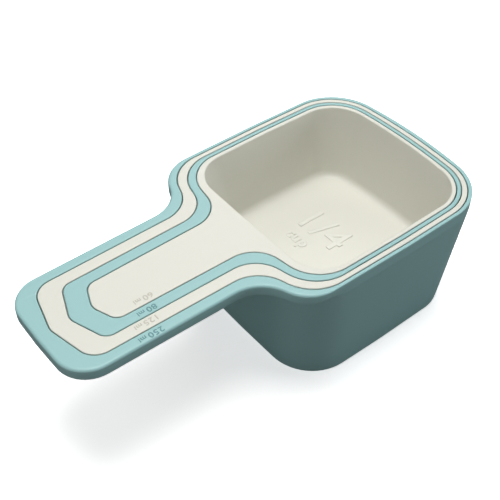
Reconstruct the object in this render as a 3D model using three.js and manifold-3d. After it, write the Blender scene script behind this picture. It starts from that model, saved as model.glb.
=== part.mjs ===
// A nested set of four measuring cups: 250 ml, 125 ml, 80 ml and 60 ml.
//
// Each cup is one injection-moulded piece: a flat rim that runs out into a
// handle, and a drafted bowl with rounded corners below it. A cup's rim has a
// sunk seat in the outline of the next smaller cup, so that all four rims and
// handles lie flush, one inside the other, when the set is put away.
//
// Units are millimetres. +Z is up, the handles point along -X, and the origin
// is the centre of the largest cup's underside, which the set stands on.

import * as THREE from 'three';
import { mergeVertices } from 'three/addons/utils/BufferGeometryUtils.js';
import Module from 'manifold-3d';

// ---------------------------------------------------------------- dimensions

const SET_HEIGHT = 52; // underside of the largest cup to the common rim plane
const NEST_GAP = 0.35; // clearance all round between a cup and its seat
const DRAFT = 0.1; // how far a bowl's wall leans in, per millimetre of depth
const FLOOR = 1.4; // thickness of a bowl's floor
const SMALLEST_WALL = 1.5; // rim width of the smallest cup, beside its mouth
const OUTER_FILLET = 3; // round between a bowl's wall and its underside
const INNER_FILLET = 2.4; // round between a bowl's wall and its floor
const HANDLE_FLARE = 0.8; // how much wider each half handle is at the neck
const SIDE_BOW = 0.5; // how far the long sides of a bowl bulge out
const SHOULDER_EASE = 0.17; // how much the handle-side corners round out, per millimetre of depth
const END_EASE = -0.1; // the same for the corners at the far end, which tighten
const BOW_RADIUS = 240; // eases the middle of a bulging side
const ARC_STEPS = 4; // half the number of straight steps in each arc
const FILLET_STEPS = 3; // straight steps in the round at a bowl's foot
const CLEAR = 5; // how far a cutting block stands out of what it cuts

const AQUA = new THREE.MeshStandardMaterial({ color: 0xa6cdcd, roughness: 0.42 });
const CREAM = new THREE.MeshStandardMaterial({ color: 0xe6e3d6, roughness: 0.45 });

// From the largest to the smallest. All X and Y values are measured in plan:
//   tipX       the handle's end on the centre line
//   tipSweep   how far the end's corners lie behind its middle
//   handleHalf half the handle's width near its end
//   neckX      where the handle starts to widen into the bowl
//   shoulderX  the bowl's side that faces the handle
//   half       half the bowl's width
//   endX       the bowl's far corners, and endBow how far its end bulges out
//   plate      thickness of the rim and the handle
//   depth      rim plane to the bowl's underside
//   round      radii of the tip's middle, tip corners, neck, shoulder and end corners
const CUPS = [
  {
    name: 'cup_250_ml', material: AQUA, tipX: -113.2, tipSweep: 0.5, handleHalf: 20.8,
    neckX: -48.6, shoulderX: -42.4, half: 39, endX: 38, endBow: 4.4, plate: 4.5, depth: 52,
    round: { apex: 60, tip: 13.5, neck: 14, shoulder: 15.5, end: 19.5 },
  },
  {
    name: 'cup_125_ml', material: CREAM, tipX: -108.3, tipSweep: 3.9, handleHalf: 16.8,
    neckX: -46.2, shoulderX: -40, half: 37.5, endX: 36.8, endBow: 3.5, plate: 3.4, depth: 37.8,
    round: { apex: 5, tip: 6.5, neck: 12.5, shoulder: 15, end: 18.2 },
  },
  {
    name: 'cup_80_ml', material: AQUA, tipX: -101.9, tipSweep: 4.6, handleHalf: 12.4,
    neckX: -43, shoulderX: -37.9, half: 35.6, endX: 35.3, endBow: 2.8, plate: 2.4, depth: 34.8,
    round: { apex: 5, tip: 4, neck: 11.5, shoulder: 14.4, end: 16.8 },
  },
  {
    name: 'cup_60_ml', material: CREAM, tipX: -94.4, tipSweep: 3.3, handleHalf: 8.4,
    neckX: -39.6, shoulderX: -36.2, half: 34, endX: 33.8, endBow: 2.7, plate: 1.4, depth: 31.8,
    round: { apex: 5, tip: 3.8, neck: 11, shoulder: 13.8, end: 15.4 },
  },
];

// ------------------------------------------------------------------ outlines

/** One corner of an outline: its place, its radius, and how that grows with depth. */
function corner(x, y, radius, ease = 0) {
  return { point: new THREE.Vector2(x, y), radius, ease };
}

/** The upper half's corners, followed by their mirror images in the X axis. */
function mirrored(upper) {
  const onAxis = (c) => Math.abs(c.point.y) < 1e-9;
  const flipped = (c) => corner(c.point.x, -c.point.y, c.radius, c.ease);
  const lower = upper.filter((c) => !onAxis(c)).map(flipped);
  return [...upper, ...lower.reverse()];
}

/** Corners of a cup's flat top in plan: the bowl's rim and the handle in one. */
function topCorners(cup) {
  const { tipX, tipSweep, handleHalf, neckX, shoulderX, half, endX, endBow, round } = cup;
  const middleX = (shoulderX + endX) / 2;
  return mirrored([
    corner(endX + endBow, 0, BOW_RADIUS),
    corner(endX, half, round.end),
    corner(middleX, half + SIDE_BOW, BOW_RADIUS),
    corner(shoulderX, half, round.shoulder),
    corner(neckX, handleHalf + HANDLE_FLARE, round.neck),
    corner(tipX + tipSweep, handleHalf, round.tip),
    corner(tipX, 0, round.apex),
  ]);
}

/** Corners of a cup's bowl in plan, at the height where its draft starts. */
function bowlCorners(cup) {
  const { shoulderX, half, endX, endBow, round } = cup;
  const middleX = (shoulderX + endX) / 2;
  return mirrored([
    corner(endX + endBow, 0, BOW_RADIUS),
    corner(endX, half, round.end, END_EASE),
    corner(middleX, half + SIDE_BOW, BOW_RADIUS),
    corner(shoulderX, half, round.shoulder, SHOULDER_EASE),
    corner(shoulderX - SIDE_BOW, 0, BOW_RADIUS),
  ]);
}

/** The corners after every side has moved outwards by `grow` (inwards if negative). */
function offsetCorners(corners, grow) {
  const count = corners.length;
  const outward = corners.map((c, i) => {
    const along = corners[(i + 1) % count].point.clone().sub(c.point).normalize();
    return new THREE.Vector2(along.y, -along.x);
  });
  return corners.map((c, i) => {
    const before = outward[(i + count - 1) % count];
    const after = outward[i];
    const move = before.clone().add(after).multiplyScalar(grow / (1 + before.dot(after)));
    const bulges = before.cross(after) > 0;
    const radius = Math.max(c.radius + (bulges ? grow : -grow), 0.5);
    return { point: c.point.clone().add(move), radius, ease: c.ease };
  });
}

/** A closed shape through the corners, each one rounded by an arc. */
function roundedShape(corners) {
  const shape = new THREE.Shape();
  corners.forEach((c, i) => {
    const toLast = corners.at(i - 1).point.clone().sub(c.point);
    const toNext = corners[(i + 1) % corners.length].point.clone().sub(c.point);
    const room = 0.499 * Math.min(toLast.length(), toNext.length());
    toLast.normalize();
    toNext.normalize();
    const halfAngle = Math.acos(toLast.dot(toNext)) / 2;
    const tangent = Math.min(c.radius / Math.tan(halfAngle), room);
    const radius = tangent * Math.tan(halfAngle);
    const bisector = toLast.clone().add(toNext).normalize();
    const centre = c.point.clone().addScaledVector(bisector, radius / Math.sin(halfAngle));
    const from = c.point.clone().addScaledVector(toLast, tangent).sub(centre).angle();
    const to = c.point.clone().addScaledVector(toNext, tangent).sub(centre).angle();
    const clockwise = toLast.cross(toNext) > 0;
    shape.absarc(centre.x, centre.y, radius, from, to, clockwise);
  });
  return shape;
}

// -------------------------------------------------------------------- solids

const manifold = await Module();
manifold.setup();

/** A manifold-3d solid with the same faces as a closed three.js geometry. */
function solidFrom(geometry) {
  geometry.deleteAttribute('normal');
  geometry.deleteAttribute('uv');
  const merged = mergeVertices(geometry, 1e-4);
  const vertProperties = new Float32Array(merged.attributes.position.array);
  const triVerts = new Uint32Array(merged.index.array);
  return new manifold.Manifold(new manifold.Mesh({ numProp: 3, vertProperties, triVerts }));
}

/** A three.js geometry with the faces of a manifold-3d solid. */
function geometryFrom(solid) {
  const mesh = solid.getMesh();
  const geometry = new THREE.BufferGeometry();
  geometry.setAttribute('position', new THREE.BufferAttribute(mesh.vertProperties, 3));
  geometry.setIndex(new THREE.BufferAttribute(mesh.triVerts, 1));
  geometry.computeVertexNormals();
  return geometry;
}

/** An upright prism of the outline between two heights. */
function prism(corners, lowZ, highZ) {
  const options = { depth: highZ - lowZ, bevelEnabled: false, curveSegments: ARC_STEPS };
  const geometry = new THREE.ExtrudeGeometry(roundedShape(corners), options);
  geometry.translate(0, 0, lowZ);
  return solidFrom(geometry);
}

/**
 * The outline after it has sunk into a bowl: drawn in by the level's `inset`,
 * with its corners eased for its `fall` and tightened by the foot's round.
 */
function sunkenShape(corners, level, box) {
  const middle = box.getCenter(new THREE.Vector2());
  const half = box.getSize(new THREE.Vector2()).multiplyScalar(0.5);
  return roundedShape(corners.map((c) => {
    const x = middle.x + (c.point.x - middle.x) * (1 - level.inset / half.x);
    const y = middle.y + (c.point.y - middle.y) * (1 - level.inset / half.y);
    return corner(x, y, c.radius + c.ease * level.fall - level.footInset);
  }));
}

/** The place in `points` of the one nearest to (x, y). */
function nearest(points, x, y) {
  const apart = points.map((point) => Math.hypot(point.x - x, point.y - y));
  return apart.indexOf(Math.min(...apart));
}

/**
 * A bowl-shaped block: the outline at `highZ`, leaning in by DRAFT on its way
 * down, with a round of radius `fillet` where it meets its flat bottom at `lowZ`.
 */
function bowlBlock(corners, lowZ, highZ, fillet) {
  const levels = [];
  for (let step = 0; step <= FILLET_STEPS; step += 1) {
    const turn = (step / FILLET_STEPS) * (Math.PI / 2);
    const z = lowZ + fillet * (1 - Math.cos(turn));
    const fall = highZ - z;
    const footInset = fillet * (1 - Math.sin(turn));
    levels.push({ z, fall, footInset, inset: DRAFT * fall + footInset });
  }
  levels.push({ z: highZ, fall: 0, footInset: 0, inset: 0 });

  const shape = roundedShape(corners);
  const outline = shape.getPoints(ARC_STEPS);
  const box = new THREE.Box2().setFromPoints(outline);
  const sunken = levels.map((level) => sunkenShape(corners, level, box).getPoints(ARC_STEPS));
  const steps = levels.length - 1;
  const options = { depth: steps, steps, bevelEnabled: false, curveSegments: ARC_STEPS };
  const geometry = new THREE.ExtrudeGeometry(shape, options);
  const position = geometry.attributes.position;
  for (let i = 0; i < position.count; i += 1) {
    const row = Math.round(position.getZ(i));
    const point = sunken[row][nearest(outline, position.getX(i), position.getY(i))];
    position.setXYZ(i, point.x, point.y, levels[row].z);
  }
  return solidFrom(geometry);
}

/** The cup before it is hollowed out: its flat top joined to its bowl. */
function outerSolid(cup) {
  const plateZ = SET_HEIGHT - cup.plate;
  const plate = prism(topCorners(cup), plateZ, SET_HEIGHT);
  const bowl = bowlBlock(bowlCorners(cup), SET_HEIGHT - cup.depth, plateZ, OUTER_FILLET);
  return plate.add(bowl);
}

/** What is cut from a cup to seat the next smaller cup and to make its own bowl. */
function seatFor(smaller, floorZ) {
  const seatZ = SET_HEIGHT - smaller.plate - NEST_GAP;
  const seat = prism(offsetCorners(topCorners(smaller), NEST_GAP), seatZ, SET_HEIGHT + CLEAR);
  const hollow = bowlBlock(offsetCorners(bowlCorners(smaller), NEST_GAP), floorZ, seatZ, INNER_FILLET);
  return seat.add(hollow);
}

/** The smallest cup's bowl, which nothing nests in. */
function openHollow(cup, floorZ) {
  const mouth = offsetCorners(bowlCorners(cup), -SMALLEST_WALL);
  const hollow = bowlBlock(mouth, floorZ, SET_HEIGHT, INNER_FILLET);
  return hollow.add(prism(mouth, SET_HEIGHT, SET_HEIGHT + CLEAR));
}

/** One finished cup as a named mesh. */
function cupMesh(cup, smaller) {
  const floorZ = SET_HEIGHT - cup.depth + FLOOR;
  const hollow = smaller ? seatFor(smaller, floorZ) : openHollow(cup, floorZ);
  const mesh = new THREE.Mesh(geometryFrom(outerSolid(cup).subtract(hollow)), cup.material);
  mesh.name = cup.name;
  return mesh;
}

const cupSet = new THREE.Group();
CUPS.forEach((cup, i) => cupSet.add(cupMesh(cup, CUPS[i + 1])));

export default cupSet;
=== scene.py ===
"""A nested set of four measuring cups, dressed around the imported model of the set.

The four cups are moulded shells whose rims and handles nest flush, one inside
the other. Each shell is skinned from closed rings that follow two outlines:
the bowl's rounded square and the flat top that runs out into the handle.
Lengths are in metres, +Z is up, and the handles point along -X.
"""

import logging
import math
from collections.abc import Callable
from dataclasses import dataclass, field
from enum import Enum

import bmesh
import bpy
import numpy as np
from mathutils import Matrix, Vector
from mathutils.geometry import tessellate_polygon

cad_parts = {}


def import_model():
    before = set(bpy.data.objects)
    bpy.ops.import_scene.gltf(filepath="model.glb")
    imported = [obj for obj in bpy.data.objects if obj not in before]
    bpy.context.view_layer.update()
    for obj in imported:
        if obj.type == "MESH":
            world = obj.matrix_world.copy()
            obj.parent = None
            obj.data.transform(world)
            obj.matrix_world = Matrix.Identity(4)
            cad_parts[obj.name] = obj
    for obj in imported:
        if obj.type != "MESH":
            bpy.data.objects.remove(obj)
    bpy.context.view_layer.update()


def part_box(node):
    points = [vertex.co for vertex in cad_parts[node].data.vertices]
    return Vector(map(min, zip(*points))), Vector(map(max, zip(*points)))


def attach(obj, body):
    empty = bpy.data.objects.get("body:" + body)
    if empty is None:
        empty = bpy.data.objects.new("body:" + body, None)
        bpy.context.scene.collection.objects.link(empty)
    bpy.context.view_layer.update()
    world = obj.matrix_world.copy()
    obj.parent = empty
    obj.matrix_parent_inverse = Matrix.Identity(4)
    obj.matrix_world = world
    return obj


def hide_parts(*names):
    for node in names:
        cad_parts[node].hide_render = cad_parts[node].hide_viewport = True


LOG = logging.getLogger("measuring_cups")
MM = 0.001
ARC_ROOM = 0.499  # share of a side that a corner's arc may take up
SMALLEST_RADIUS = 0.2 * MM


class Tint(Enum):
    """The two colours that the cups alternate between, with their record slots."""

    AQUA = "aqua_plastic"
    CREAM = "cream_plastic"


# ---------------------------------------------------------------- outlines


@dataclass(frozen=True)
class Corner:
    """One corner of an outline.

    Args:
        x: Place along the handle's direction.
        y: Place across it.
        radius: Radius that the corner is rounded to.
        steps: Number of straight steps in the corner's arc.
    """

    x: float
    y: float
    radius: float
    steps: int


def mirrored(upper: list[Corner]) -> list[Corner]:
    """Adds the mirror image of every corner that isn't on the centre line."""
    lower = [Corner(c.x, -c.y, c.radius, c.steps) for c in upper if c.y != 0]
    return upper + lower[::-1]


def side_normals(points: np.ndarray) -> np.ndarray:
    """Finds the outward unit normals of a closed anticlockwise polygon's sides.

    Args:
        points: The polygon's points, one row each.

    Returns:
        One normal for the side that follows each point.
    """
    along = np.roll(points, -1, axis=0) - points
    along /= np.linalg.norm(along, axis=1, keepdims=True)
    return np.column_stack([along[:, 1], -along[:, 0]])


def rounded_ring(corners: list[Corner], grow: float, straight: list[int]) -> np.ndarray:
    """Points of a closed outline with rounded corners, moved outwards by an even amount.

    Args:
        corners: The outline's corners, anticlockwise.
        grow: Distance that every side moves outwards.
        straight: Number of steps on the side that follows each corner.

    Returns:
        The points, one row each, starting on the first corner's arc.
    """
    points = np.array([(c.x, c.y) for c in corners])
    after = side_normals(points)
    before = np.roll(after, 1, axis=0)
    dots = np.sum(before * after, axis=1, keepdims=True)
    points = points + (before + after) * grow / (1 + dots)
    arcs = []
    for i, corner in enumerate(corners):
        to_last = points[i - 1] - points[i]
        to_next = points[(i + 1) % len(corners)] - points[i]
        room = ARC_ROOM * min(np.linalg.norm(to_last), np.linalg.norm(to_next))
        to_last /= np.linalg.norm(to_last)
        to_next /= np.linalg.norm(to_next)
        half = math.acos(float(np.clip(to_last @ to_next, -1, 1))) / 2
        bulges = before[i][0] * after[i][1] - before[i][1] * after[i][0] > 0
        wanted = max(corner.radius + (grow if bulges else -grow), SMALLEST_RADIUS)
        tangent = min(wanted / math.tan(half), room)
        radius = tangent * math.tan(half)
        bisector = (to_last + to_next) / np.linalg.norm(to_last + to_next)
        centre = points[i] + bisector * radius / math.sin(half)
        start = points[i] + to_last * tangent - centre
        turn = (math.pi - 2 * half) * (1 if bulges else -1)
        first = math.atan2(start[1], start[0])
        angles = first + turn * np.linspace(0, 1, corner.steps + 1)
        arcs.append(centre + radius * np.column_stack([np.cos(angles), np.sin(angles)]))
    ring = []
    for i, arc in enumerate(arcs):
        following = arcs[(i + 1) % len(arcs)][0]
        steps = np.linspace(0, 1, straight[i] + 1)[1:-1, None]
        ring.append(arc)
        ring.append(arc[-1] + (following - arc[-1]) * steps)
    return np.vstack(ring)


def smooth(low: float, high: float, value: np.ndarray) -> np.ndarray:
    """Rises smoothly from 0 at `low` to 1 at `high`."""
    t = np.clip((value - low) / (high - low), 0, 1)
    return t * t * (3 - 2 * t)


def distance_outside(points: np.ndarray, ring: np.ndarray) -> np.ndarray:
    """Measures how far points lie from a closed ring.

    Args:
        points: The points, one row each.
        ring: The ring's points, one row each.

    Returns:
        Each point's distance from the ring's nearest side.
    """
    start = ring[None]
    side = np.roll(ring, -1, axis=0)[None] - start
    offset = points[:, None] - start
    squares = np.maximum(np.sum(side * side, axis=2), 1e-18)
    t = np.clip(np.sum(offset * side, axis=2) / squares, 0, 1)
    return np.linalg.norm(offset - side * t[..., None], axis=2).min(axis=1)


# ------------------------------------------------------------------- sizes


@dataclass(frozen=True)
class CupSizes:
    """One cup's driving sizes, in metres.

    Args:
        tip_sweep: How far the handle end's corners lie behind its middle.
        handle_half: Half the handle's width near its end.
        neck_x: Where the handle starts to widen into the bowl.
        shoulder_x: The bowl's side that faces the handle.
        corner_x: Where the bowl's far corners are.
        plate: Thickness of the rim and the handle.
        radii: Radii of the tip's middle, tip corners, neck, shoulder and end corners.
    """

    tip_sweep: float
    handle_half: float
    neck_x: float
    shoulder_x: float
    corner_x: float
    plate: float
    radii: tuple[float, float, float, float, float]


SIDE_BOW = 0.5 * MM  # how far a bowl's long sides bulge out
BOW_RADIUS = 240 * MM  # eases the middle of a bulging side
HANDLE_FLARE = 0.8 * MM  # how much wider each half handle is at the neck
DRAFT = 0.1  # how far a wall leans in, per metre of depth
SHOULDER_EASE = 0.17  # how much the handle-side corners round out, per metre of depth
END_EASE = -0.1  # the same for the far corners, which tighten
NEST_GAP = 0.35 * MM  # clearance all round between a cup and its seat
SEAT_RELIEF = 0.15 * MM  # extra clearance below a seated handle
FLOOR = 1.4 * MM  # thickness of a bowl's floor
MOUTH_WALL = 1.5 * MM  # rim width of the smallest cup, beside its mouth
OUTER_FILLET = 3 * MM
INNER_FILLET = 2.6 * MM
HANDLE_RELIEF = 0.05 * MM  # how far a shell stays below the letters' tops

# Steps in each corner's arc, and in the straight sides between the corners.
BOW_STEPS = 8
END_STEPS = 16
SIDE_STEPS = 6
SHOULDER_STEPS = 14
NECK_STEPS = 14
TIP_STEPS = 12
BOWL_SIDE_STEPS = [4, 4, 4]
HANDLE_SIDE_STEPS = [2, 14, 4]
FILLET_RINGS = 7
WALL_RINGS = 6
EDGE_RINGS = 6
FIT_ROUNDS = 6


@dataclass
class Outline:
    """A cup's two outlines in plan, as corners with matching step counts.

    Args:
        sizes: The cup's driving sizes.
        tip_x: The handle's end on the centre line.
        half: Half the bowl's width at its corners.
        end_x: The bowl's far end on the centre line.
    """

    sizes: CupSizes
    tip_x: float
    half: float
    end_x: float

    def shared_corners(self, fall: float) -> list[Corner]:
        """Corners of the upper half that the top and the bowl have in common.

        Args:
            fall: Depth below the rim, over which the wall has leant in and the corners eased.

        Returns:
            The corners, with radii that make up for the lean's smaller outline.
        """
        s = self.sizes
        middle = (s.shoulder_x + s.corner_x) / 2
        end_radius = s.radii[4] + (END_EASE + DRAFT) * fall
        shoulder_radius = s.radii[3] + (SHOULDER_EASE + DRAFT) * fall
        return [
            Corner(self.end_x, 0, BOW_RADIUS, BOW_STEPS),
            Corner(s.corner_x, self.half, end_radius, END_STEPS),
            Corner(middle, self.half + SIDE_BOW, BOW_RADIUS, SIDE_STEPS),
            Corner(s.shoulder_x, self.half, shoulder_radius, SHOULDER_STEPS),
        ]

    def top(self, grow: float) -> np.ndarray:
        """Draws the flat top's outline: the bowl's rim and the handle in one.

        Args:
            grow: Distance that the outline moves outwards.

        Returns:
            The outline's points, one row each.
        """
        s = self.sizes
        upper = self.shared_corners(0.0) + [
            Corner(s.neck_x, s.handle_half + HANDLE_FLARE, s.radii[2], NECK_STEPS),
            Corner(self.tip_x + s.tip_sweep, s.handle_half, s.radii[1], TIP_STEPS),
            Corner(self.tip_x, 0, s.radii[0], BOW_STEPS),
        ]
        half_sides = BOWL_SIDE_STEPS + HANDLE_SIDE_STEPS
        return rounded_ring(mirrored(upper), grow, half_sides + half_sides[::-1])

    def bowl(self, grow: float, fall: float = 0.0) -> np.ndarray:
        """Draws the bowl's outline, with as many points as the top's outline.

        Args:
            grow: Distance that the outline moves outwards.
            fall: Depth over which the corners have eased.

        Returns:
            The outline's points, one row each.
        """
        shoulder = Corner(self.sizes.shoulder_x - SIDE_BOW, 0, BOW_RADIUS, BOW_STEPS)
        upper = self.shared_corners(fall) + [shoulder]
        across = sum(HANDLE_SIDE_STEPS) + NECK_STEPS + TIP_STEPS
        half_sides = BOWL_SIDE_STEPS + [across]
        return rounded_ring(mirrored(upper), grow, half_sides + half_sides[::-1])


# --------------------------------------------------------------- ring skins


@dataclass(frozen=True)
class Ledge:
    """Where a bowl's wall turns out under the flat top that carries the handle.

    Args:
        z: Height of the flat top's underside (or of a seat's bottom).
        top_z: Height of the rim plane.
        inner_round: Radius in the corner between the wall and the underside.
        outer_round: Radius at the underside's outer edge.
        rim_round: Radius at the rim's edge.
        handle_round: Radius at the same edge along the handle.
        rim_flares: Whether the rim's round opens outwards, as a seat's does.
    """

    z: float
    top_z: float
    inner_round: float
    outer_round: float
    rim_round: float
    handle_round: float
    rim_flares: bool


@dataclass
class SkinRings:
    """Closed rings, bottom to top, that make one face of a cup's wall.

    Args:
        outline: The cup whose outlines the rings follow.
        grow: How far the rings lie outside those outlines.
        floor_z: Height of the flat bottom.
        fillet: Radius between the bottom and the wall.
        rings: The rings made so far.
    """

    outline: Outline
    grow: float
    floor_z: float
    fillet: float
    rings: list[np.ndarray] = field(default_factory=list)

    def add(self, plan: np.ndarray, z: float | np.ndarray) -> None:
        """Adds one ring from its plan points and its height or heights."""
        self.rings.append(np.column_stack([plan, np.broadcast_to(z, len(plan))]))

    def wall(self, draft_z: float, last_z: float) -> None:
        """Adds the flat bottom's edge, its fillet and the drafted wall.

        Args:
            draft_z: Height at which the wall meets the outline.
            last_z: Height of the wall's last ring.
        """
        foot = DRAFT * (draft_z - self.floor_z) + self.fillet + 0.3 * MM
        self.add(self.outline.bowl(self.grow - foot, last_z - self.floor_z), self.floor_z)
        for angle in np.linspace(0, math.pi / 2, FILLET_RINGS):
            z = self.floor_z + self.fillet * (1 - math.cos(angle))
            inset = DRAFT * (draft_z - z) + self.fillet * (1 - math.sin(angle))
            self.add(self.outline.bowl(self.grow - inset, last_z - z), z)
        for z in np.linspace(self.floor_z + self.fillet, last_z, WALL_RINGS)[1:]:
            self.add(self.outline.bowl(self.grow - DRAFT * (draft_z - z), last_z - z), z)

    def rim_edge(
        self, plan_at: Callable[[float], np.ndarray], top_z: float, radius: float, flares: bool,
        wide: float = 0.0, share: np.ndarray | float = 0.0,
    ) -> None:
        """Adds the rounded edge where the wall meets the rim plane.

        Args:
            plan_at: Gives the plan points for a distance outside the outline.
            top_z: Height of the rim plane.
            radius: Radius of the round.
            flares: Whether the round opens outwards.
            wide: Radius of the round where there is room for a softer one.
            share: How far each point takes the wide radius.
        """
        sign = 1 if flares else -1
        mix = np.broadcast_to(share, len(plan_at(0.0)))
        for angle in np.linspace(0, math.pi / 2, EDGE_RINGS):
            lean, drop = 1 - math.cos(angle), 1 - math.sin(angle)
            close = plan_at(sign * radius * lean)
            far = plan_at(sign * wide * lean)
            z = top_z - (radius + (wide - radius) * mix) * drop
            self.add(close + (far - close) * mix[:, None], z)
        close = plan_at(sign * (radius + 0.15 * MM))
        far = plan_at(sign * (wide + 0.15 * MM))
        self.add(close + (far - close) * mix[:, None], top_z)

    def ledge(self, ledge: Ledge) -> None:
        """Adds the wall's turn under the flat top, the top's side and its edge.

        Along the handle the rings run out under the plate and up its side. Beside
        the bowl, where there is no room for that, they climb the wall in even steps.

        Args:
            ledge: Heights and radii of the turn.
        """
        wall_z = ledge.z - ledge.inner_round
        self.wall(ledge.z, wall_z)
        bowl = self.outline.bowl(self.grow)
        top = self.outline.top(self.grow)
        reach = distance_outside(top, bowl)
        handle = smooth(0.0, 2 * MM, reach) if ledge.rim_flares else smooth(0.3 * MM, 4 * MM, reach)
        tucked = self.outline.top(self.grow - ledge.outer_round)
        edge = top + (tucked - top) * handle[:, None]
        span = edge - bowl
        length = np.maximum(np.linalg.norm(span, axis=1), 1e-9)
        round_in = np.minimum(ledge.inner_round, 0.4 * length)

        under = []
        for angle in np.linspace(0, math.pi / 2, EDGE_RINGS)[1:]:
            out = round_in * (1 - math.cos(angle)) / length
            under.append((out, ledge.z - round_in * (1 - math.sin(angle))))
        turned = under[-1][0]
        for step in (0.02, 0.35, 0.7, 0.98):
            under.append((turned + (1 - turned) * step, np.full(len(bowl), ledge.z)))
        side = []
        for angle in np.linspace(0, math.pi / 2, EDGE_RINGS):
            lean = handle * (1 - math.sin(angle))
            side.append((lean, ledge.z + ledge.outer_round * (1 - math.cos(angle))))

        last_z = ledge.top_z - max(ledge.rim_round, ledge.handle_round)
        plain = np.linspace(wall_z, last_z, len(under) + len(side) + 2)[1:-1]
        for (out, z), side_z in zip(under, plain):
            even = (side_z - wall_z) / (last_z - wall_z)
            share = handle * out + (1 - handle) * even
            lean = DRAFT * np.maximum(ledge.z - side_z, 0) * (1 - handle)
            plan = bowl + span * share[:, None]
            plan = plan - self.outward(bowl) * lean[:, None]
            self.add(plan, handle * z + (1 - handle) * side_z)
        for (lean, z), side_z in zip(side, plain[len(under):]):
            plan = top + (tucked - top) * lean[:, None]
            self.add(plan, handle * z + (1 - handle) * side_z)
        self.rim_edge(
            lambda shift: self.outline.top(self.grow + shift),
            ledge.top_z, ledge.rim_round, ledge.rim_flares, ledge.handle_round, handle,
        )

    def outward(self, ring: np.ndarray) -> np.ndarray:
        """Finds the outward directions at a ring's points.

        Args:
            ring: The ring's plan points, anticlockwise.

        Returns:
            One unit normal for each point.
        """
        along = np.roll(ring, -1, axis=0) - np.roll(ring, 1, axis=0)
        along /= np.linalg.norm(along, axis=1, keepdims=True)
        return np.column_stack([along[:, 1], -along[:, 0]])

    def mouth(self, top_z: float, rim_round: float) -> None:
        """Adds a plain drafted bowl up to a rounded mouth in the rim plane.

        Args:
            top_z: Height of the rim plane.
            rim_round: Radius of the mouth's edge.
        """
        self.wall(top_z, top_z - rim_round)
        self.rings.pop()
        self.rim_edge(lambda shift: self.outline.bowl(self.grow + shift), top_z, rim_round, True)


def facing_up(points: np.ndarray, a: int, b: int, c: int) -> tuple[int, int, int]:
    """Puts a triangle's corners in the order that turns its face upwards.

    Args:
        points: The mesh's points, one row each.
        a: Number of the first corner's point.
        b: Number of the second corner's point.
        c: Number of the third corner's point.

    Returns:
        The three numbers in order.
    """
    first, second = points[b] - points[a], points[c] - points[a]
    return (a, b, c) if first[0] * second[1] > first[1] * second[0] else (a, c, b)


def new_geometry_tree(name: str, kinds: dict[str, str]) -> bpy.types.NodeTree:
    """Makes an empty geometry tree with named inputs and one geometry output.

    Args:
        name: The tree's name.
        kinds: Input name to its socket type.

    Returns:
        The tree.
    """
    tree = bpy.data.node_groups.new(name, "GeometryNodeTree")
    for label, kind in kinds.items():
        tree.interface.new_socket(label, in_out="INPUT", socket_type=kind)
    tree.interface.new_socket("Geometry", in_out="OUTPUT", socket_type="NodeSocketGeometry")
    return tree


def finish_tree(
    tree: bpy.types.NodeTree, shape: bpy.types.NodeSocket, finish: bpy.types.NodeSocket
) -> None:
    """Ends a geometry tree in Realize Instances and Set Material.

    Args:
        tree: The tree to end.
        shape: The finished shape's socket.
        finish: The material input's socket.
    """
    real = tree.nodes.new("GeometryNodeRealizeInstances")
    dress = tree.nodes.new("GeometryNodeSetMaterial")
    tree.links.new(shape, real.inputs["Geometry"])
    tree.links.new(real.outputs[0], dress.inputs["Geometry"])
    tree.links.new(finish, dress.inputs["Material"])
    tree.links.new(dress.outputs[0], tree.nodes.new("NodeGroupOutput").inputs[0])


def run_tree(
    tree: bpy.types.NodeTree, name: str, start: bpy.types.Mesh, values: dict[str, object]
) -> bpy.types.Object:
    """Runs a geometry tree on a mesh and keeps its result as a plain piece.

    Args:
        tree: The tree to run.
        name: The piece's name.
        start: The mesh that the tree works on.
        values: A value for each named input.

    Returns:
        The piece, at the origin, without its modifier.
    """
    piece = bpy.data.objects.new(name, start)
    bpy.context.scene.collection.objects.link(piece)
    modifier = piece.modifiers.new("shape", "NODES")
    modifier.node_group = tree
    for item in tree.interface.items_tree:
        if item.in_out == "INPUT" and item.name in values:
            modifier[item.identifier] = values[item.name]
    depsgraph = bpy.context.evaluated_depsgraph_get()
    mesh = bpy.data.meshes.new_from_object(piece.evaluated_get(depsgraph))
    mesh.name = name
    piece.modifiers.remove(modifier)
    piece.data = mesh
    mesh.materials.clear()
    mesh.materials.append(values["Finish"])
    mesh.polygons.foreach_set("material_index", np.zeros(len(mesh.polygons), dtype=np.int32))
    return piece


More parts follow.
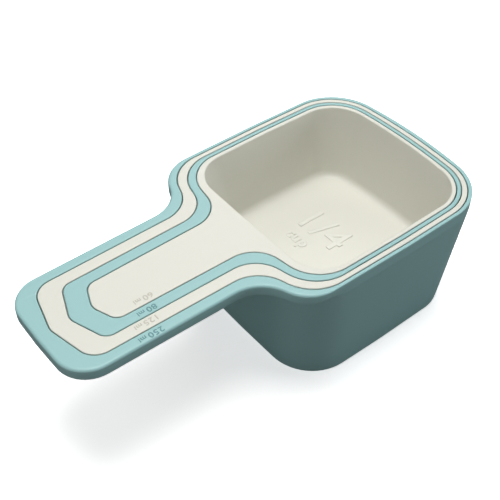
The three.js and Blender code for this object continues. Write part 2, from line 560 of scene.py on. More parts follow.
def skin_tree() -> bpy.types.NodeTree:
    """Geometry Nodes that skin a stack of equal closed rings.

    The tree lays a grid over the rings' points, which come in order, and joins it
    to the faces that the start mesh already has: its two flat ends, and its rim
    plane where that is one flat plate.

    Returns:
        A tree with inputs for the ring and point counts and the row left open.
    """
    tree = new_geometry_tree("Ring skin", {
        "Geometry": "NodeSocketGeometry",
        "Rings": "NodeSocketInt",
        "Points Per Ring": "NodeSocketInt",
        "Open Row": "NodeSocketInt",
        "Finish": "NodeSocketMaterial",
    })
    nodes, links = tree.nodes, tree.links
    given = nodes.new("NodeGroupInput").outputs

    def whole(
        operation: str, first: bpy.types.NodeSocket, second: bpy.types.NodeSocket | int
    ) -> bpy.types.NodeSocket:
        """Adds a whole-number operation.

        Args:
            operation: The operation's name.
            first: The first value's socket.
            second: The second value's socket, or a plain number.

        Returns:
            The result's socket.
        """
        node = nodes.new("FunctionNodeIntegerMath")
        node.operation = operation
        for socket, value in zip(node.inputs, (first, second)):
            if isinstance(value, int):
                socket.default_value = value
            else:
                links.new(value, socket)
        return node.outputs[0]

    index = nodes.new("GeometryNodeInputIndex").outputs[0]
    points = given["Points Per Ring"]
    wide = whole("ADD", points, 1)
    grid = nodes.new("GeometryNodeMeshGrid")
    links.new(given["Rings"], grid.inputs["Vertices X"])
    links.new(wide, grid.inputs["Vertices Y"])
    row = whole("DIVIDE_FLOOR", index, wide)
    around = whole("MODULO", whole("MODULO", index, wide), points)
    source = whole("ADD", whole("MULTIPLY", row, points), around)
    place = nodes.new("GeometryNodeSampleIndex")
    place.data_type = "FLOAT_VECTOR"
    links.new(given["Geometry"], place.inputs["Geometry"])
    links.new(nodes.new("GeometryNodeInputPosition").outputs[0], place.inputs["Value"])
    links.new(source, place.inputs["Index"])
    draped = nodes.new("GeometryNodeSetPosition")
    links.new(grid.outputs["Mesh"], draped.inputs["Geometry"])
    links.new(place.outputs["Value"], draped.inputs["Position"])
    face_row = whole("DIVIDE_FLOOR", index, points)
    is_open = nodes.new("FunctionNodeCompare")
    is_open.data_type = "INT"
    is_open.operation = "EQUAL"
    links.new(face_row, is_open.inputs[2])
    links.new(given["Open Row"], is_open.inputs[3])
    opened = nodes.new("GeometryNodeDeleteGeometry")
    opened.domain = "FACE"
    links.new(draped.outputs[0], opened.inputs["Geometry"])
    links.new(is_open.outputs[0], opened.inputs["Selection"])
    outward = nodes.new("GeometryNodeFlipFaces")
    links.new(opened.outputs[0], outward.inputs[0])
    whole_skin = nodes.new("GeometryNodeJoinGeometry")
    links.new(outward.outputs[0], whole_skin.inputs[0])
    links.new(given["Geometry"], whole_skin.inputs[0])
    welded = nodes.new("GeometryNodeMergeByDistance")
    welded.inputs["Distance"].default_value = 0.0002 * MM
    links.new(whole_skin.outputs[0], welded.inputs["Geometry"])
    smooth_faces = nodes.new("GeometryNodeSetShadeSmooth")
    links.new(welded.outputs[0], smooth_faces.inputs["Geometry"])
    finish_tree(tree, smooth_faces.outputs[0], given["Finish"])
    return tree


def cup_skin(
    tree: bpy.types.NodeTree, name: str, outer: list[np.ndarray], inner: list[np.ndarray],
    plated: bool, finish: bpy.types.Material,
) -> bpy.types.Object:
    """Skins a cup: up the outside, over the rim and down the inside.

    Args:
        tree: The ring skin tree.
        name: The piece's name.
        outer: Rings of the outside, bottom to top.
        inner: Rings of the inside, bottom to top.
        plated: Whether the rim plane is one flat plate with the mouth cut in it.
        finish: The moulding's material.

    Returns:
        A closed piece whose faces point outwards.
    """
    rings = outer + inner[::-1]
    count = len(rings[0])
    low = np.append(rings[0].mean(axis=0)[:2], rings[0][0, 2])
    high = np.append(rings[-1].mean(axis=0)[:2], rings[-1][0, 2])
    vertices = np.vstack([*rings, low, high])
    last = (len(rings) - 1) * count
    faces = []
    for i in range(count):
        j = (i + 1) % count
        faces.append((j, i, len(vertices) - 2))
        faces.append((last + i, last + j, len(vertices) - 1))
    open_row = -1
    if plated:
        open_row = len(outer) - 1
        first = open_row * count
        plate = [[Vector(point) for point in rings[open_row + k].tolist()] for k in (0, 1)]
        for a, b, c in tessellate_polygon(plate):
            faces.append(facing_up(vertices, first + a, first + b, first + c))
    start = bpy.data.meshes.new(f"{name}_ends")
    start.from_pydata(vertices.tolist(), [], faces)
    counts = {"Rings": len(rings), "Points Per Ring": count, "Open Row": open_row}
    return run_tree(tree, name, start, {**counts, "Finish": finish})


# ------------------------------------------------------------- shader groups


# Places of the Mix node's colour sockets, which share their names with its other kinds.
COLOUR_A = 6
COLOUR_B = 7
COLOUR_RESULT = 2


def new_group(
    name: str, inputs: dict[str, tuple[str, object]], outputs: dict[str, str]
) -> bpy.types.NodeTree:
    """Makes an empty shader group with named sockets.

    Args:
        name: The group's name.
        inputs: Socket name to its type and default value.
        outputs: Socket name to its type.

    Returns:
        The group, with its input and output nodes named "in" and "out".
    """
    group = bpy.data.node_groups.new(name, "ShaderNodeTree")
    for label, (kind, value) in inputs.items():
        socket = group.interface.new_socket(label, in_out="INPUT", socket_type=kind)
        socket.default_value = value
    for label, kind in outputs.items():
        group.interface.new_socket(label, in_out="OUTPUT", socket_type=kind)
    group.nodes.new("NodeGroupInput").name = "in"
    group.nodes.new("NodeGroupOutput").name = "out"
    return group


def moulded_grain_group() -> bpy.types.NodeTree:
    """Builds a moulding's skin: fine spark-eroded grain over a faint long waviness.

    Returns:
        A group that gives the normal and the roughness.
    """
    floats = "NodeSocketFloat"
    group = new_group(
        "Moulded grain",
        {
            "Grain Scale": (floats, 1400.0),
            "Grain Depth": (floats, 0.15),
            "Wave Scale": (floats, 35.0),
            "Wave Depth": (floats, 0.15),
            "Roughness": (floats, 0.4),
            "Roughness Spread": (floats, 0.06),
        },
        {"Normal": "NodeSocketVector", "Roughness": floats},
    )
    nodes, links = group.nodes, group.links
    given, out = nodes["in"].outputs, nodes["out"].inputs
    place = nodes.new("ShaderNodeTexCoord")
    normal = None
    for scale, depth, detail, reach in (
        ("Wave Scale", "Wave Depth", 2.0, 0.4 * MM),
        ("Grain Scale", "Grain Depth", 3.0, 0.05 * MM),
    ):
        noise = nodes.new("ShaderNodeTexNoise")
        noise.inputs["Detail"].default_value = detail
        bump = nodes.new("ShaderNodeBump")
        bump.inputs["Distance"].default_value = reach
        links.new(place.outputs["Object"], noise.inputs["Vector"])
        links.new(given[scale], noise.inputs["Scale"])
        links.new(given[depth], bump.inputs["Strength"])
        links.new(noise.outputs["Fac"], bump.inputs["Height"])
        if normal:
            links.new(normal, bump.inputs["Normal"])
        normal = bump.outputs["Normal"]
    links.new(normal, out["Normal"])

    patches = nodes.new("ShaderNodeTexNoise")
    patches.inputs["Scale"].default_value = 60.0
    patches.inputs["Detail"].default_value = 4.0
    links.new(place.outputs["Object"], patches.inputs["Vector"])
    centred = nodes.new("ShaderNodeMath")
    centred.operation = "SUBTRACT"
    centred.inputs[1].default_value = 0.5
    links.new(patches.outputs["Fac"], centred.inputs[0])
    spread = nodes.new("ShaderNodeMath")
    spread.operation = "MULTIPLY_ADD"
    links.new(centred.outputs[0], spread.inputs[0])
    links.new(given["Roughness Spread"], spread.inputs[1])
    links.new(given["Roughness"], spread.inputs[2])
    links.new(spread.outputs[0], out["Roughness"])
    return group


def clouds_and_painted_highlight_group() -> bpy.types.NodeTree:
    """Builds plastic's colour: faint flow clouds, and a painted highlight that makes the edges
    paler.

    Returns:
        A group that gives the colour.
    """
    colour, floats = "NodeSocketColor", "NodeSocketFloat"
    group = new_group(
        "Clouds and painted edge highlight",
        {
            "Body Colour": (colour, (0.5, 0.5, 0.5, 1.0)),
            "Painted Highlight Colour": (colour, (0.8, 0.8, 0.8, 1.0)),
            "Cloud Colour": (colour, (0.45, 0.45, 0.45, 1.0)),
            "Painted Highlight Amount": (floats, 0.5),
            "Cloud Amount": (floats, 0.3),
        },
        {"Colour": colour},
    )
    nodes, links = group.nodes, group.links
    given, out = nodes["in"].outputs, nodes["out"].inputs
    place = nodes.new("ShaderNodeTexCoord")
    clouds = nodes.new("ShaderNodeTexNoise")
    clouds.inputs["Scale"].default_value = 22.0
    clouds.inputs["Detail"].default_value = 3.0
    links.new(place.outputs["Object"], clouds.inputs["Vector"])
    cloud_share = nodes.new("ShaderNodeMath")
    cloud_share.operation = "MULTIPLY"
    links.new(clouds.outputs["Fac"], cloud_share.inputs[0])
    links.new(given["Cloud Amount"], cloud_share.inputs[1])
    clouded = nodes.new("ShaderNodeMix")
    clouded.data_type = "RGBA"
    links.new(cloud_share.outputs[0], clouded.inputs["Factor"])
    links.new(given["Body Colour"], clouded.inputs[COLOUR_A])
    links.new(given["Cloud Colour"], clouded.inputs[COLOUR_B])

    # Painted highlight: where Pointiness finds a sharp convex edge, the colour leans to a paler
    # one, standing in for light caught on the rounded edges.
    geometry = nodes.new("ShaderNodeNewGeometry")
    edges = nodes.new("ShaderNodeMapRange")
    edges.inputs["From Min"].default_value = 0.52
    edges.inputs["From Max"].default_value = 0.62
    links.new(geometry.outputs["Pointiness"], edges.inputs["Value"])
    painted_highlight_share = nodes.new("ShaderNodeMath")
    painted_highlight_share.operation = "MULTIPLY"
    links.new(edges.outputs["Result"], painted_highlight_share.inputs[0])
    links.new(given["Painted Highlight Amount"], painted_highlight_share.inputs[1])
    highlighted = nodes.new("ShaderNodeMix")
    highlighted.data_type = "RGBA"
    links.new(painted_highlight_share.outputs[0], highlighted.inputs["Factor"])
    links.new(clouded.outputs[COLOUR_RESULT], highlighted.inputs[COLOUR_A])
    links.new(given["Painted Highlight Colour"], highlighted.inputs[COLOUR_B])
    links.new(highlighted.outputs[COLOUR_RESULT], out["Colour"])
    return group


@dataclass(frozen=True)
class MouldedPlastic:
    """A satin polypropylene finish.

    Args:
        name: The material's name.
        body: Base colour, linear.
        edge: Colour that the edges lean to.
        cloud: Colour of the faint flow clouds.
        roughness: Mean roughness.
        grain_depth: Strength of the fine grain.
        painted_highlight_amount: How far edges lean to the colour of the painted highlight.
    """

    name: str
    body: tuple[float, float, float]
    edge: tuple[float, float, float]
    cloud: tuple[float, float, float]
    roughness: float = 0.42
    grain_depth: float = 0.2
    painted_highlight_amount: float = 0.35

    def material(self, groups: dict[str, bpy.types.NodeTree]) -> bpy.types.Material:
        """Builds the node material.

        Args:
            groups: The shared shader groups by name.

        Returns:
            The finished material.
        """
        material = bpy.data.materials.new(self.name)
        material.use_nodes = True
        nodes, links = material.node_tree.nodes, material.node_tree.links
        shader = nodes["Principled BSDF"]
        shader.inputs["IOR"].default_value = 1.49
        shader.inputs["Specular IOR Level"].default_value = 0.5
        grain = nodes.new("ShaderNodeGroup")
        grain.node_tree = groups["Moulded grain"]
        grain.inputs["Grain Depth"].default_value = self.grain_depth
        grain.inputs["Roughness"].default_value = self.roughness
        tone = nodes.new("ShaderNodeGroup")
        tone.node_tree = groups["Clouds and painted edge highlight"]
        tone.inputs["Body Colour"].default_value = (*self.body, 1.0)
        tone.inputs["Painted Highlight Colour"].default_value = (*self.edge, 1.0)
        tone.inputs["Cloud Colour"].default_value = (*self.cloud, 1.0)
        tone.inputs["Painted Highlight Amount"].default_value = self.painted_highlight_amount
        links.new(tone.outputs["Colour"], shader.inputs["Base Color"])
        links.new(grain.outputs["Roughness"], shader.inputs["Roughness"])
        links.new(grain.outputs["Normal"], shader.inputs["Normal"])
        return material


# Each finish lists its body colour, the paler colour of its painted edge highlight, and the colour
# of its flow clouds.
BODY_FINISH = {
    Tint.AQUA: MouldedPlastic(
        "aqua moulding", (0.335, 0.565, 0.565), (0.52, 0.74, 0.74), (0.30, 0.53, 0.53)
    ),
    Tint.CREAM: MouldedPlastic(
        "cream moulding", (0.735, 0.73, 0.655), (0.82, 0.815, 0.755), (0.69, 0.685, 0.61)
    ),
}
# Darker copies of the mouldings for the letters on the handles: painted shade that stands in for
# the shadow in the letters' strokes.
MARK_PAINTED_SHADE = {
    Tint.AQUA: MouldedPlastic(
        "aqua mark with painted shade", (0.12, 0.28, 0.30), (0.2, 0.4, 0.42), (0.1, 0.25, 0.27), painted_highlight_amount=0.0
    ),
    Tint.CREAM: MouldedPlastic(
        "cream mark with painted shade", (0.54, 0.52, 0.44), (0.62, 0.6, 0.52), (0.54, 0.515, 0.435), painted_highlight_amount=0.0
    ),
}


# ------------------------------------------------------------ capacity marks


def mark_tree() -> bpy.types.NodeTree:
    """Geometry Nodes that write a capacity in raised letters on a flat face.

    A narrow border runs along every letter's outline to make its strokes bolder.

    Returns:
        A tree whose named inputs give the words, their sizes and their place.
    """
    tree = new_geometry_tree("Capacity mark", {
        "Number": "NodeSocketString",
        "Unit": "NodeSocketString",
        "Number Height": "NodeSocketFloat",
        "Unit Height": "NodeSocketFloat",
        "Unit Follows": "NodeSocketFloat",
        "Unit Gap": "NodeSocketFloat",
        "Unit Drop": "NodeSocketFloat",
        "Spacing": "NodeSocketFloat",
        "Stretch": "NodeSocketVector",
        "Stroke": "NodeSocketFloat",
        "Relief": "NodeSocketFloat",
        "Place": "NodeSocketVector",
        "Turn": "NodeSocketRotation",
        "Finish": "NodeSocketMaterial",
    })
    nodes, links = tree.nodes, tree.links
    given = nodes.new("NodeGroupInput").outputs
    font = bpy.data.curves.new("plain letters", "FONT").font

    def written(words: str, height: str) -> bpy.types.NodeSocket:
        """Writes one input string as curves, from its own baseline.

        Args:
            words: Name of the string's input.
            height: Name of the input for its font size.

        Returns:
            The letters' curves.
        """
        text = nodes.new("GeometryNodeStringToCurves")
        text.font = font
        links.new(given[words], text.inputs["String"])
        links.new(given[height], text.inputs["Size"])
        links.new(given["Spacing"], text.inputs["Character Spacing"])
        real = nodes.new("GeometryNodeRealizeInstances")
        links.new(text.outputs["Curve Instances"], real.inputs["Geometry"])
        return real.outputs["Geometry"]

    number = written("Number", "Number Height")
    unit = written("Unit", "Unit Height")
    flat_number = nodes.new("GeometryNodeFillCurve")
    links.new(number, flat_number.inputs["Curve"])
    box = nodes.new("GeometryNodeBoundBox")
    links.new(flat_number.outputs[0], box.inputs["Geometry"])
    far = nodes.new("ShaderNodeSeparateXYZ")
    links.new(box.outputs["Max"], far.inputs[0])
    along = nodes.new("ShaderNodeMath")
    along.operation = "MULTIPLY_ADD"
    links.new(far.outputs["X"], along.inputs[0])
    links.new(given["Unit Follows"], along.inputs[1])
    links.new(given["Unit Gap"], along.inputs[2])
    shift = nodes.new("ShaderNodeCombineXYZ")
    links.new(along.outputs[0], shift.inputs["X"])
    links.new(given["Unit Drop"], shift.inputs["Y"])
    beside = nodes.new("GeometryNodeTransform")
    links.new(unit, beside.inputs["Geometry"])
    links.new(shift.outputs[0], beside.inputs["Translation"])
    words = nodes.new("GeometryNodeJoinGeometry")
    links.new(number, words.inputs[0])
    links.new(beside.outputs[0], words.inputs[0])
    faces = nodes.new("GeometryNodeFillCurve")
    links.new(words.outputs[0], faces.inputs["Curve"])
    raised = nodes.new("GeometryNodeExtrudeMesh")
    raised.inputs["Individual"].default_value = False
    links.new(faces.outputs[0], raised.inputs["Mesh"])
    links.new(given["Relief"], raised.inputs["Offset Scale"])
    backs = nodes.new("GeometryNodeFlipFaces")
    links.new(faces.outputs[0], backs.inputs[0])
    closed = nodes.new("GeometryNodeJoinGeometry")
    links.new(raised.outputs["Mesh"], closed.inputs[0])
    links.new(backs.outputs[0], closed.inputs[0])
    merged = nodes.new("GeometryNodeMergeByDistance")
    merged.inputs["Distance"].default_value = 0.001 * MM
    links.new(closed.outputs[0], merged.inputs["Geometry"])

    border_height = nodes.new("ShaderNodeMath")
    border_height.operation = "MULTIPLY"
    border_height.inputs[1].default_value = 0.85
    links.new(given["Relief"], border_height.inputs[0])
    section = nodes.new("GeometryNodeCurvePrimitiveQuadrilateral")
    links.new(given["Stroke"], section.inputs["Width"])
    links.new(border_height.outputs[0], section.inputs["Height"])
    upright = nodes.new("GeometryNodeSetCurveNormal")
    upright.mode = "Z_UP"
    links.new(words.outputs[0], upright.inputs["Curve"])
    border = nodes.new("GeometryNodeCurveToMesh")
    links.new(upright.outputs[0], border.inputs["Curve"])
    links.new(section.outputs["Curve"], border.inputs["Profile Curve"])
    outward = nodes.new("GeometryNodeFlipFaces")
    links.new(border.outputs[0], outward.inputs[0])
    half = nodes.new("ShaderNodeMath")
    half.operation = "MULTIPLY"
    half.inputs[1].default_value = 0.5
    links.new(border_height.outputs[0], half.inputs[0])
    rise = nodes.new("ShaderNodeCombineXYZ")
    links.new(half.outputs[0], rise.inputs["Z"])
    lifted = nodes.new("GeometryNodeTransform")
    links.new(outward.outputs[0], lifted.inputs["Geometry"])
    links.new(rise.outputs[0], lifted.inputs["Translation"])
    letters = nodes.new("GeometryNodeJoinGeometry")
    links.new(merged.outputs[0], letters.inputs[0])
    links.new(lifted.outputs[0], letters.inputs[0])
    placed = nodes.new("GeometryNodeTransform")
    links.new(letters.outputs[0], placed.inputs["Geometry"])
    links.new(given["Stretch"], placed.inputs["Scale"])
    links.new(given["Place"], placed.inputs["Translation"])
    links.new(given["Turn"], placed.inputs["Rotation"])
    finish_tree(tree, placed.outputs[0], given["Finish"])
    return tree


@dataclass
class CapacityMark:
    """Raised letters that give a capacity, moulded into a cup.

    Args:
        name: The piece's name.
        number: The number's text.
        unit: The unit's text.
        place: Left end of the number's baseline.
        turn: Rotation about Z, in radians.
        number_height: Font size of the number.
        unit_height: Font size of the unit.
        unit_gap: Space between the number's far end (or start) and the unit.
        unit_drop: How far the unit's baseline lies above the number's.
        unit_follows: Whether the unit starts where the number ends.
        spacing: Space between letters, as a share of the font's own.
        stretch: How much wider the letters are than the font's.
        stroke: Width that a border along each letter's outline adds to its strokes.
        relief: How far the letters stand up.
    """

    name: str
    number: str
    unit: str
    place: tuple[float, float, float]
    turn: float
    number_height: float
    unit_height: float
    unit_gap: float
    unit_drop: float = 0.0
    unit_follows: bool = True
    spacing: float = 1.1
    stretch: float = 1.15
    stroke: float = 0.1 * MM
    relief: float = 0.1 * MM

    def build(self, tree: bpy.types.NodeTree, material: bpy.types.Material) -> bpy.types.Object:
        """Runs the tree and keeps its result as a plain mesh.

        Args:
            tree: The capacity mark tree.
            material: The letters' material.

        Returns:
            The finished piece, at the origin.
        """
        values = {
            "Number": self.number,
            "Unit": self.unit,
            "Number Height": self.number_height,
            "Unit Height": self.unit_height,
            "Unit Follows": float(self.unit_follows),
            "Unit Gap": self.unit_gap,
            "Unit Drop": self.unit_drop,
            "Spacing": self.spacing,
            "Stretch": (self.stretch, 1.0, 1.0),
            "Stroke": self.stroke,
            "Relief": self.relief,
            "Place": self.place,
            "Turn": (0.0, 0.0, self.turn),
            "Finish": material,
        }
        piece = run_tree(tree, self.name, bpy.data.meshes.new(self.name), values)
        letters = bmesh.new()
        letters.from_mesh(piece.data)
        bmesh.ops.recalc_face_normals(letters, faces=letters.faces)
        letters.to_mesh(piece.data)
        letters.free()
        return piece


# ---------------------------------------------------------------------- cups


@dataclass
class MeasuringCup:
    """One cup: its shell and its capacity marks.

    Args:
        node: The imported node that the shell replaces.
        body: The body that the cup moves with.
        tint: Colour of the moulding.
        sizes: Driving sizes.
        handle_mark: Number and unit on the handle.
        floor_mark: Number and unit on the bowl's floor.
        handle_mark_x: Where the handle's mark starts.
        handle_mark_y: Baseline of the handle's mark.
        rim_round: Radius at the handle's upper edge.
        low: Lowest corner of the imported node's box.
        high: Highest corner of that box.
    """

    node: str
    body: str
    tint: Tint
    sizes: CupSizes
    handle_mark: tuple[str, str]
    floor_mark: tuple[str, str]
    handle_mark_x: float
    handle_mark_y: float
    rim_round: float = 0.3 * MM
    low: Vector = field(default_factory=Vector)
    high: Vector = field(default_factory=Vector)

    def read_frame(self) -> None:
        """Takes the cup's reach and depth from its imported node."""
        low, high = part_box(self.node)
        self.low, self.high = Vector(low), Vector(high)

    @property
    def floor_z(self) -> float:
        """Height of the bowl's floor."""
        return self.low.z + FLOOR

    def outline(self) -> Outline:
        """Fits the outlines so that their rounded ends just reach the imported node's box.

        Returns:
            The cup's two outlines.
        """
        half = self.high.y - SIDE_BOW
        outline = Outline(self.sizes, self.low.x, half, self.high.x)
        for _ in range(FIT_ROUNDS):
            ring = outline.top(0.0)
            outline.tip_x += self.low.x - ring[:, 0].min()
            outline.end_x += self.high.x - ring[:, 0].max()
            outline.half += self.high.y - ring[:, 1].max()
        return outline

    def shell(
        self, smaller: "MeasuringCup | None", tree: bpy.types.NodeTree, finish: bpy.types.Material
    ) -> bpy.types.Object:
        """Builds the moulding around the seat for the next smaller cup.

        Args:
            smaller: The cup that nests in this one, if any.
            tree: The ring skin tree.
            finish: The moulding's material.

        Returns:
            The shell as one closed piece.
        """
        top = self.high.z - HANDLE_RELIEF
        outer = SkinRings(self.outline(), 0.0, self.low.z, OUTER_FILLET)
        plate = self.sizes.plate
        under_round = min(1.5 * MM, 0.6 * plate)
        under_edge = min(0.8 * MM, 0.4 * plate)
        outer.ledge(
            Ledge(top - plate, top, under_round, under_edge, 0.3 * MM, self.rim_round, False)
        )
        if smaller:
            inner = SkinRings(smaller.outline(), NEST_GAP, self.floor_z, INNER_FILLET)
            seat_z = top - smaller.sizes.plate - NEST_GAP - SEAT_RELIEF
            seat_round = min(1.2 * MM, 0.7 * smaller.sizes.plate)
            edge_round = min(0.8 * MM, 0.3 * smaller.sizes.plate)
            inner.ledge(Ledge(seat_z, top, seat_round, edge_round, 0.25 * MM, 0.25 * MM, True))
        else:
            inner = SkinRings(self.outline(), -MOUTH_WALL, self.floor_z, INNER_FILLET)
            inner.mouth(top, 0.5 * MM)
        rows = (outer.rings, inner.rings, smaller is None)
        return cup_skin(tree, f"{self.node}_shell", *rows, finish)

    def marks(self) -> list[CapacityMark]:
        """Sizes the letters on the handle and on the bowl's floor.

        Returns:
            The handle's mark and the floor's mark.
        """
        number, unit = self.handle_mark
        share, measure = self.floor_mark
        on_handle = (self.handle_mark_x, self.handle_mark_y, self.high.z - 2 * HANDLE_RELIEF)
        on_floor = (-1.0 * MM, 16.5 * MM, self.floor_z - 0.02 * MM)
        return [
            CapacityMark(
                f"{self.node}_handle_mark", number, unit, on_handle, math.pi,
                number_height=2.8 * MM, unit_height=2.2 * MM, unit_gap=0.6 * MM,
                relief=2 * HANDLE_RELIEF,
            ),
            CapacityMark(
                f"{self.node}_floor_mark", share, measure, on_floor, -math.pi / 2,
                number_height=16.5 * MM, unit_height=6.4 * MM, unit_gap=4.3 * MM,
                unit_drop=-7.3 * MM, unit_follows=False, spacing=1.06, stretch=1.0,
                stroke=0.5 * MM, relief=0.25 * MM,
            ),
        ]

    def build(
        self,
        smaller: "MeasuringCup | None",
        trees: dict[str, bpy.types.NodeTree],
        finishes: dict[str, bpy.types.Material],
    ) -> list[bpy.types.Object]:
        """Builds and dresses the cup's pieces and puts them on its body.

        Args:
            smaller: The cup that nests in this one, if any.
            trees: The geometry trees by name.
            finishes: Materials by name.

        Returns:
            The cup's pieces.
        """
        body_finish = finishes[BODY_FINISH[self.tint].name]
        # The handle's letters take the darker finish, painted shade for their strokes; the floor's
        # letters take the body's own.
        painted_shade_finish = finishes[MARK_PAINTED_SHADE[self.tint].name]
        shell = self.shell(smaller, trees["Ring skin"], body_finish)
        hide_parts(self.node)
        handle, floor = self.marks()
        pieces = [
            shell,
            handle.build(trees["Capacity mark"], painted_shade_finish),
            floor.build(trees["Capacity mark"], body_finish),
        ]
        for piece in pieces:
            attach(piece, self.body)
            LOG.info("%s: %d faces on %s", piece.name, len(piece.data.polygons), self.body)
        return pieces


def cup_sizes(*lengths: float, radii: tuple[float, ...]) -> CupSizes:
    """Gives CupSizes from millimetres, in the order of its fields."""
    return CupSizes(*(value * MM for value in lengths), tuple(value * MM for value in radii))


def cup_set() -> list[MeasuringCup]:
    """Lists the four cups, from the largest to the smallest.

    Returns:
        The cups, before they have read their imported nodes.
    """

    return [
        MeasuringCup(
            "cup_250_ml", "cup_250", Tint.AQUA,
            cup_sizes(0.5, 20.8, -48.6, -42.4, 38, 4.5, radii=(60, 13.5, 14, 15.5, 19.5)),
            ("250", "ml"), ("1", "cup"), -82.4 * MM, -18.5 * MM, 0.9 * MM,
        ),
        MeasuringCup(
            "cup_125_ml", "cup_125", Tint.CREAM,
            cup_sizes(3.9, 16.8, -46.2, -40, 36.8, 3.4, radii=(5, 6.5, 12.5, 15, 18.2)),
            ("125", "ml"), ("1/2", "cup"), -80.9 * MM, -13.9 * MM,
        ),
        MeasuringCup(
            "cup_80_ml", "cup_80", Tint.AQUA,
            cup_sizes(4.6, 12.4, -43, -37.9, 35.3, 2.4, radii=(5, 4, 11.5, 14.4, 16.8)),
            ("80", "ml"), ("1/3", "cup"), -79.1 * MM, -10.1 * MM,
        ),
        MeasuringCup(
            "cup_60_ml", "cup_60", Tint.CREAM,
            cup_sizes(3.3, 8.4, -39.6, -36.2, 33.8, 1.4, radii=(5, 3.8, 11, 13.8, 15.4)),
            ("60", "ml"), ("1/4", "cup"), -77.4 * MM, -5.6 * MM,
        ),
    ]


# --------------------------------------------------------------------- stage


@dataclass(frozen=True)
class Softbox:
    """A square soft light.

    Args:
        name: The light's name.
        place: Where it hangs.
        side: Length of its side.
        watts: Its power.
        colour: Its colour.
    """

    name: str
    place: tuple[float, float, float]
    side: float
    watts: float
    colour: tuple[float, float, float] = (1.0, 1.0, 1.0)

    def hang(self, target: Vector) -> bpy.types.Object:
        """Makes the light and turns it to its target.

        Args:
            target: The point that it faces.

        Returns:
            The lamp.
        """
        light = bpy.data.lights.new(self.name, "AREA")
        light.shape = "SQUARE"
        light.size = self.side
        light.energy = self.watts
        light.color = self.colour
        lamp = bpy.data.objects.new(self.name, light)
        lamp.location = self.place
        lamp.rotation_euler = (target - Vector(self.place)).to_track_quat("-Z", "Y").to_euler()
        bpy.context.scene.collection.objects.link(lamp)
        return lamp


FLOOR_Z = -0.3 * MM  # a hair below the set, so that its underside stays clear of the floor
FLOOR_REACH = 4.0
TOUCHING = 2 * MM  # light that travels less than this comes from the set's underside


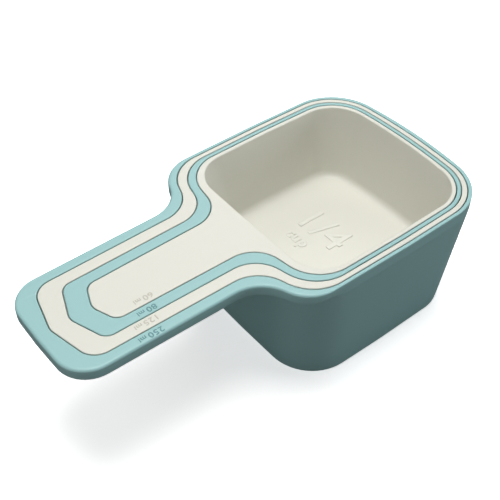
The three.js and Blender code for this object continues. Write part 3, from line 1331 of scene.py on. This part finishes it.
@dataclass(frozen=True)
class Studio:
    """The floor, the lights and the camera.

    Args:
        azimuth: Direction from the target to the camera, in degrees.
        elevation: Height of the camera above the target, in degrees.
        roll: Turn of the camera about its own axis, in degrees.
        distance: From the target to the camera.
        target: The point that the camera looks at.
        lens: Focal length in millimetres on a 36 mm sensor.
    """

    azimuth: float = -129.4
    elevation: float = 44.9
    roll: float = 1.0
    distance: float = 0.3042
    target: tuple[float, float, float] = (-0.0329, 0.0023, 0.036)
    lens: float = 64.8

    def place_camera(self) -> None:
        """Makes the camera and gives it to the scene."""
        azimuth, elevation = math.radians(self.azimuth), math.radians(self.elevation)
        away = Vector((
            math.cos(elevation) * math.cos(azimuth),
            math.cos(elevation) * math.sin(azimuth),
            math.sin(elevation),
        ))
        data = bpy.data.cameras.new("camera")
        data.sensor_width = 36.0
        data.lens = self.lens
        data.clip_start = 0.01
        camera = bpy.data.objects.new("camera", data)
        camera.location = Vector(self.target) + away * self.distance
        camera.rotation_euler = (-away).to_track_quat("-Z", "Y").to_euler()
        camera.rotation_euler.rotate_axis("Z", math.radians(self.roll))
        bpy.context.scene.collection.objects.link(camera)
        bpy.context.scene.camera = camera

    def lay_floor(self) -> None:
        """Makes the plain pale floor.

        It's paler for the camera than for the light it throws back, and it's clear
        from below. For the camera it also glows, less close to the set, as painted
        light that lifts the set's shadow; it glows too for light that has come only
        a short way from the set's underside, as painted fill light under it.
        """
        corners = [
            (x * FLOOR_REACH, y * FLOOR_REACH, FLOOR_Z)
            for x, y in ((-1, -1), (1, -1), (1, 1), (-1, 1))
        ]
        mesh = bpy.data.meshes.new("studio_floor")
        mesh.from_pydata(corners, [], [(0, 1, 2, 3)])
        floor = bpy.data.objects.new("studio_floor", mesh)
        material = bpy.data.materials.new("pale floor")
        material.use_nodes = True
        nodes, links = material.node_tree.nodes, material.node_tree.links
        shader = nodes["Principled BSDF"]
        shader.inputs["Roughness"].default_value = 0.9
        path = nodes.new("ShaderNodeLightPath")
        paint = nodes.new("ShaderNodeMix")
        paint.data_type = "RGBA"
        paint.inputs[COLOUR_A].default_value = (0.12, 0.12, 0.12, 1.0)
        paint.inputs[COLOUR_B].default_value = (0.95, 0.95, 0.95, 1.0)
        links.new(path.outputs["Is Camera Ray"], paint.inputs["Factor"])
        links.new(paint.outputs[COLOUR_RESULT], shader.inputs["Base Color"])
        place = nodes.new("ShaderNodeTexCoord")
        away = nodes.new("ShaderNodeVectorMath")
        away.operation = "LENGTH"
        links.new(place.outputs["Object"], away.inputs[0])
        # Painted light: a camera-only glow that whitens the floor and lifts the set's shadow, a
        # little weaker close to the set.
        glow = nodes.new("ShaderNodeMapRange")
        glow.inputs["From Min"].default_value = 0.2
        glow.inputs["From Max"].default_value = 1.2
        glow.inputs["To Min"].default_value = 0.6
        glow.inputs["To Max"].default_value = 1.0
        links.new(away.outputs["Value"], glow.inputs["Value"])
        seen = nodes.new("ShaderNodeMath")
        seen.operation = "MULTIPLY"
        links.new(path.outputs["Is Camera Ray"], seen.inputs[0])
        links.new(glow.outputs["Result"], seen.inputs[1])
        # Painted fill light: the floor glows for rays that left the set's underside close by, so
        # that the underside isn't black.
        close = nodes.new("ShaderNodeMath")
        close.operation = "LESS_THAN"
        close.inputs[1].default_value = TOUCHING
        links.new(path.outputs["Ray Length"], close.inputs[0])
        fill = nodes.new("ShaderNodeMath")
        fill.operation = "MULTIPLY_ADD"
        fill.inputs[1].default_value = 0.3
        links.new(close.outputs[0], fill.inputs[0])
        links.new(seen.outputs[0], fill.inputs[2])
        links.new(fill.outputs[0], shader.inputs["Emission Color"])
        shader.inputs["Emission Strength"].default_value = 1.0
        side = nodes.new("ShaderNodeNewGeometry")
        clear = nodes.new("ShaderNodeBsdfTransparent")
        one_way = nodes.new("ShaderNodeMixShader")
        links.new(side.outputs["Backfacing"], one_way.inputs[0])
        links.new(shader.outputs[0], one_way.inputs[1])
        links.new(clear.outputs[0], one_way.inputs[2])
        links.new(one_way.outputs[0], nodes["Material Output"].inputs["Surface"])
        mesh.materials.append(material)
        bpy.context.scene.collection.objects.link(floor)

    def light(self) -> None:
        """Hangs the softboxes and sets the room's even fill."""
        middle = Vector((0.0, 0.0, 0.03))
        Softbox("key", (-0.02, 0.04, 0.8), 0.42, 5.2).hang(middle)
        Softbox("sheen", (0.5, 0.62, 0.75), 0.45, 1.6).hang(middle)
        Softbox("left", (-0.8, -0.2, 0.2), 0.5, 1.1).hang(middle)
        Softbox("front", (0.5, -0.42, 0.14), 0.3, 1.15, (0.92, 0.97, 1.0)).hang(middle)
        world = bpy.data.worlds.new("studio")
        world.use_nodes = True
        nodes, links = world.node_tree.nodes, world.node_tree.links
        background = nodes["Background"]
        path = nodes.new("ShaderNodeLightPath")
        seen = nodes.new("ShaderNodeMix")
        seen.data_type = "RGBA"
        seen.inputs[COLOUR_A].default_value = (0.11, 0.11, 0.11, 1.0)
        seen.inputs[COLOUR_B].default_value = (1.0, 1.0, 1.0, 1.0)
        links.new(path.outputs["Is Camera Ray"], seen.inputs["Factor"])
        links.new(seen.outputs[COLOUR_RESULT], background.inputs["Color"])
        bpy.context.scene.world = world
        bpy.context.scene.view_settings.view_transform = "Standard"


def main() -> None:
    """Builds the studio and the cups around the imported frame."""
    logging.basicConfig(level=logging.INFO, format="%(message)s")
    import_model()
    studio = Studio()
    studio.place_camera()
    studio.lay_floor()
    studio.light()
    groups = {group.name: group for group in (moulded_grain_group(), clouds_and_painted_highlight_group())}
    finishes = {}
    for finish in [*BODY_FINISH.values(), *MARK_PAINTED_SHADE.values()]:
        finishes[finish.name] = finish.material(groups)
    trees = {tree.name: tree for tree in (skin_tree(), mark_tree())}
    cups = cup_set()
    for cup in cups:
        cup.read_frame()
    for cup, smaller in zip(cups, cups[1:] + [None]):
        cup.build(smaller, trees, finishes)


if __name__ == "__main__":
    main()
